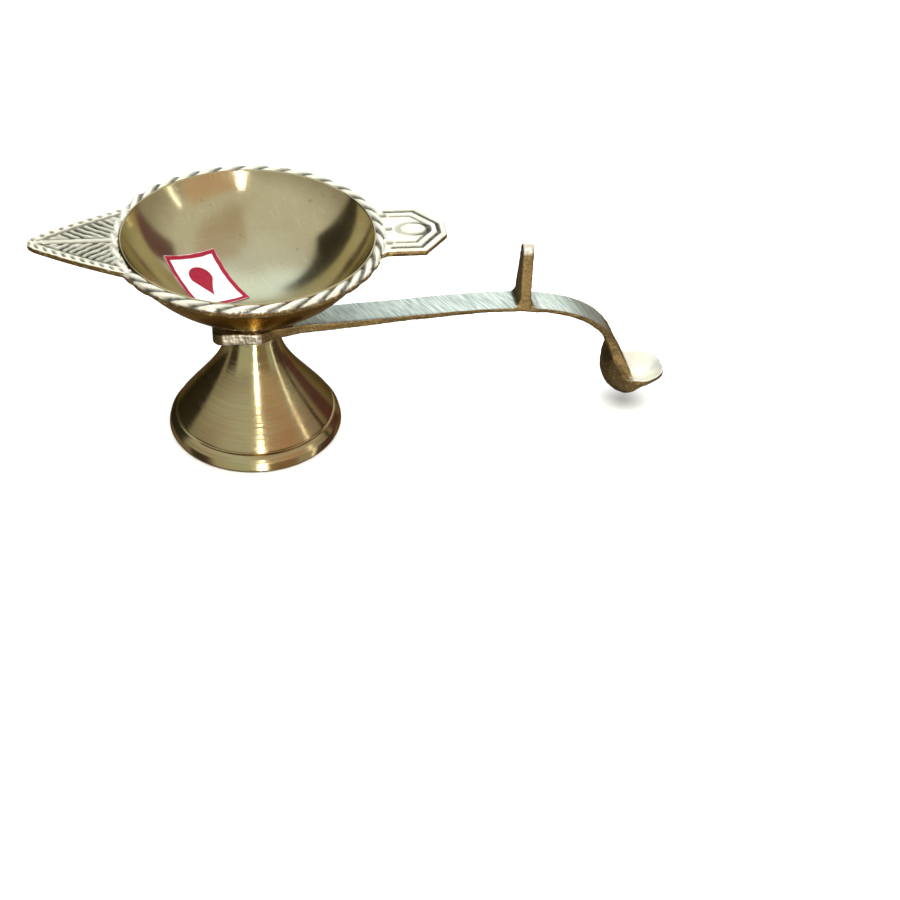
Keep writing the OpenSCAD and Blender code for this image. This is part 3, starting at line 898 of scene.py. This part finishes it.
def build_light():
    """One large soft light overhead."""
    centre, target = Vector((0.1, 0.1, 1.4)), Vector((0.02, 0, 0.03))
    data = bpy.data.lights.new("overhead", "AREA")
    data.shape = "RECTANGLE"
    data.size, data.size_y = 2.6, 2.4
    data.energy = 62
    lamp = bpy.data.objects.new("overhead", data)
    lamp.location = centre
    lamp.rotation_mode = "QUATERNION"
    lamp.rotation_quaternion = (target - centre).to_track_quat("-Z", "Y")
    lamp.visible_glossy = False
    bpy.context.scene.collection.objects.link(lamp)


# Climb in degrees and the surround's colour there.
SKY = (
    (-10, (0.30, 0.26, 0.20, 1)),
    (12, (0.36, 0.33, 0.27, 1)),
    (35, (0.64, 0.63, 0.57, 1)),
    (90, (0.66, 0.66, 0.62, 1)),
)

# Heading from and to, climb from and to, softness, all in degrees; colour; strength.
PANELS = (
    ((50, 130, 14, 64), 12.0, (0.9, 1.0, 1.02, 1), 1.0),
    ((108, 167, -16, 40), 3.0, (0.03, 0.024, 0.016, 1), 0.97),
    ((18, 41, -16, 34), 3.0, (0.13, 0.055, 0.06, 1), 0.92),
    ((-186, -152, -45, 6), 4.0, (0.05, 0.038, 0.028, 1), 0.93),
    ((-146, -91, -32, 14), 4.0, (0.62, 0.61, 0.5, 1), 0.9),
    ((-78, -42, -32, 14), 4.0, (0.34, 0.22, 0.13, 1), 0.85),
    ((-80, -30, 14, 37), 4.0, (0.62, 0.43, 0.30, 1), 0.9),
    ((-42, -24, -32, 10), 3.0, (0.5, 0.5, 0.42, 1), 0.9),
    ((-17, 22, -34, 2), 4.0, (0.09, 0.045, 0.045, 1), 0.9),
    ((-84, 30, 50, 84), 6.0, (0.46, 0.33, 0.22, 1), 0.55),
    ((-20, -18.2, -32, 30), 0.8, (5.0, 4.8, 4.4, 1), 1.0),
    ((-88.4, -85, -34, 25), 1.2, (30.0, 29.0, 27.0, 1), 1.0),
    ((-88, -85.2, 24, 35), 1.0, (24.0, 23.2, 21.6, 1), 1.0),
)


def build_world():
    """A soft studio surround, pale above and dimmer below, with panels for the brass to reflect."""
    world = bpy.data.worlds.new("studio")
    world.use_nodes = True
    bpy.context.scene.world = world
    tree = world.node_tree

    def maths(operation, a, b=0.0):
        return add_node(tree, "Math", {0: a, 1: b}, operation=operation)

    towards = add_node(tree, "TexCoord", out="Generated")
    x, y, z = (add_node(tree, "SeparateXYZ", {0: towards}, axis) for axis in range(3))
    heading = maths("MULTIPLY", maths("ARCTAN2", y, x), 180 / math.pi)
    climb = maths("MULTIPLY", maths("ARCSINE", z), 180 / math.pi)

    def inside(value, low, high, soft):
        """1 between low and high, in degrees, with soft edges."""
        edges = []
        for middle, before, after in ((low, 0.0, 1.0), (high, 1.0, 0.0)):
            sockets = {"Value": value, "From Min": middle - soft, "From Max": middle + soft,
                       "To Min": before, "To Max": after}
            edges.append(add_node(tree, "MapRange", sockets, "Result", interpolation_type="SMOOTHSTEP"))
        return maths("MULTIPLY", *edges)

    lowest, highest = -10.0, 90.0
    ramp = tree.nodes.new("ShaderNodeValToRGB")
    sockets = {"Value": climb, "From Min": lowest, "From Max": highest}
    tree.links.new(add_node(tree, "MapRange", sockets, "Result"), ramp.inputs[0])
    stops = ramp.color_ramp.elements
    stops[0].color, stops[1].color = SKY[0][1], SKY[-1][1]
    for degrees, colour in SKY[1:-1]:
        stops.new((degrees - lowest) / (highest - lowest)).color = colour
    colour = ramp.outputs[0]
    for (left, right, low, high), soft, tint, share in PANELS:
        mask = maths("MULTIPLY", inside(heading, left, right, soft), inside(climb, low, high, soft))
        colour = add_mix(tree, maths("MULTIPLY", mask, share), colour, tint)
    tree.links.new(colour, tree.nodes["Background"].inputs[0])


build_stage()
build_world()
build_light()
bpy.context.scene.view_settings.view_transform = "Standard"
